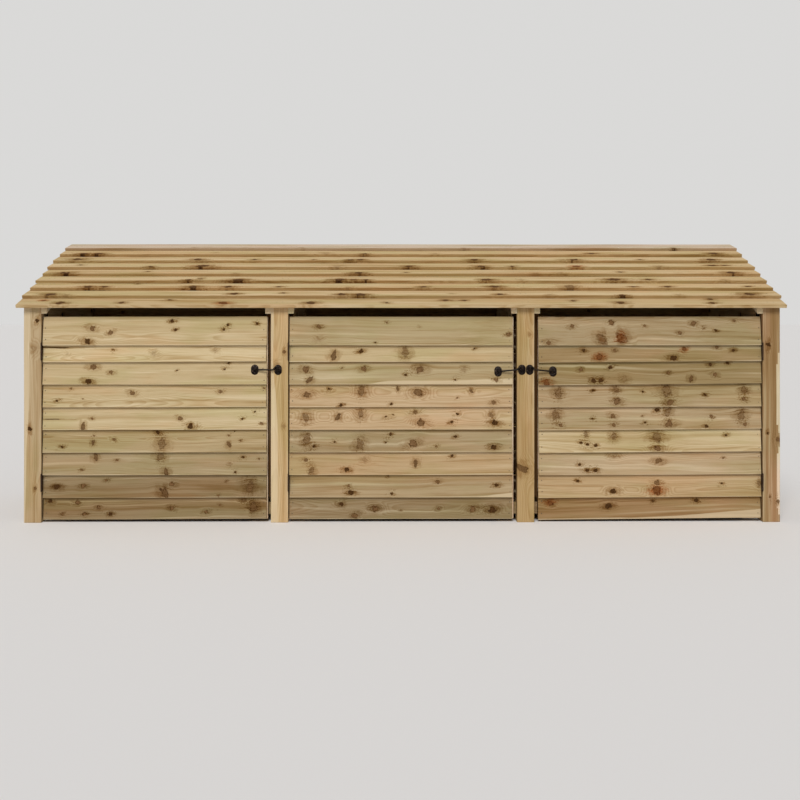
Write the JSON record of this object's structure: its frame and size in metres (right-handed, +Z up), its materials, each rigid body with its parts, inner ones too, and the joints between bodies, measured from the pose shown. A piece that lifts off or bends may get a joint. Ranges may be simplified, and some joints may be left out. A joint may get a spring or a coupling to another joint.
{
  "type": "log store",
  "caption": "Long timber log store with a lean-to roof of lapped boards, slatted sides, back and floor, and lapped-board doors closed by cabin hooks.",
  "frame": {"origin": "on the ground under the middle of the roof's plan", "axes": "+X along the length to the viewer's right, +Y from the doors to the back, +Z up"},
  "size_m": [3.35, 0.88, 1.26],
  "materials": {
    "post_timber": "planed softwood, dip treated",
    "slat_timber": "sawn softwood, dip treated",
    "roof_board_timber": "rough-sawn feather-edge board",
    "door_board_timber": "rough-sawn feather-edge board",
    "black_iron": "black antique",
    "hinge_steel": "black plated",
    "screw_steel": "black"
  },
  "bodies": {
    "frame": {"post_front_1": "post_timber", "post_front_2": "post_timber", "post_front_3": "post_timber", "post_front_4": "post_timber", "post_back_1": "post_timber", "post_back_2": "post_timber", "post_back_3": "post_timber", "post_back_4": "post_timber", "side_slats_left": "slat_timber", "side_slats_right": "slat_timber", "partition_slats_left": "slat_timber", "partition_slats_right": "slat_timber", "back_slats": "slat_timber", "rafters": "slat_timber", "floor_bearers": "slat_timber", "door_stops": "slat_timber", "roof_board_1": "roof_board_timber", "roof_board_2": "roof_board_timber", "roof_board_3": "roof_board_timber", "roof_board_4": "roof_board_timber", "roof_board_5": "roof_board_timber", "roof_board_6": "roof_board_timber", "roof_board_7": "roof_board_timber", "roof_board_8": "roof_board_timber", "roof_board_9": "roof_board_timber", "floor_slats_left": "slat_timber", "floor_slats_middle": "slat_timber", "floor_slats_right": "slat_timber", "hinge_frame_leaves_left": "hinge_steel", "hinge_frame_leaves_middle": "hinge_steel", "hinge_frame_leaves_right": "hinge_steel", "hinge_pins_left": "hinge_steel", "hinge_pins_middle": "hinge_steel", "hinge_pins_right": "hinge_steel", "eye_plate_left": "black_iron", "eye_plate_middle": "black_iron", "eye_plate_right": "black_iron", "frame_screws": "screw_steel"},
    "door_left": {"door_left_boards": "door_board_timber", "door_left_stiles": "slat_timber", "door_left_brace": "slat_timber", "door_left_screws": "screw_steel", "hinge_door_leaves_left": "hinge_steel", "hook_plate_left": "black_iron"},
    "hook_left": {"hook_arm_left": "black_iron"},
    "door_middle": {"door_middle_boards": "door_board_timber", "door_middle_stiles": "slat_timber", "door_middle_brace": "slat_timber", "door_middle_screws": "screw_steel", "hinge_door_leaves_middle": "hinge_steel", "hook_plate_middle": "black_iron"},
    "hook_middle": {"hook_arm_middle": "black_iron"},
    "door_right": {"door_right_boards": "door_board_timber", "door_right_stiles": "slat_timber", "door_right_brace": "slat_timber", "door_right_screws": "screw_steel", "hinge_door_leaves_right": "hinge_steel", "hook_plate_right": "black_iron"},
    "hook_right": {"hook_arm_right": "black_iron"}
  },
  "joints": [
    {"name": "door_left_swing", "type": "hinge", "parent": "frame", "child": "door_left", "pos_m": [-1.573, -0.4138, 0.4555], "axis": [0, 0, -1], "range_deg": [0, 105]},
    {"name": "hook_left_lift", "type": "hinge", "parent": "door_left", "child": "hook_left", "pos_m": [-0.6405, -0.40374, 0.66687], "axis": [0, -1, 0], "range_deg": [0, 140]},
    {"name": "door_middle_swing", "type": "hinge", "parent": "frame", "child": "door_middle", "pos_m": [-0.498, -0.4138, 0.4555], "axis": [0, 0, -1], "range_deg": [0, 105]},
    {"name": "hook_middle_lift", "type": "hinge", "parent": "door_middle", "child": "hook_middle", "pos_m": [0.4235, -0.40473, 0.65887], "axis": [0, -1, 0], "range_deg": [0, 140]},
    {"name": "door_right_swing", "type": "hinge", "parent": "frame", "child": "door_right", "pos_m": [1.573, -0.4138, 0.4555], "axis": [0, 0, 1], "range_deg": [0, 105]},
    {"name": "hook_right_lift", "type": "hinge", "parent": "door_right", "child": "hook_right", "pos_m": [0.6515, -0.40473, 0.65887], "axis": [0, 1, 0], "range_deg": [0, 140]}
  ]
}
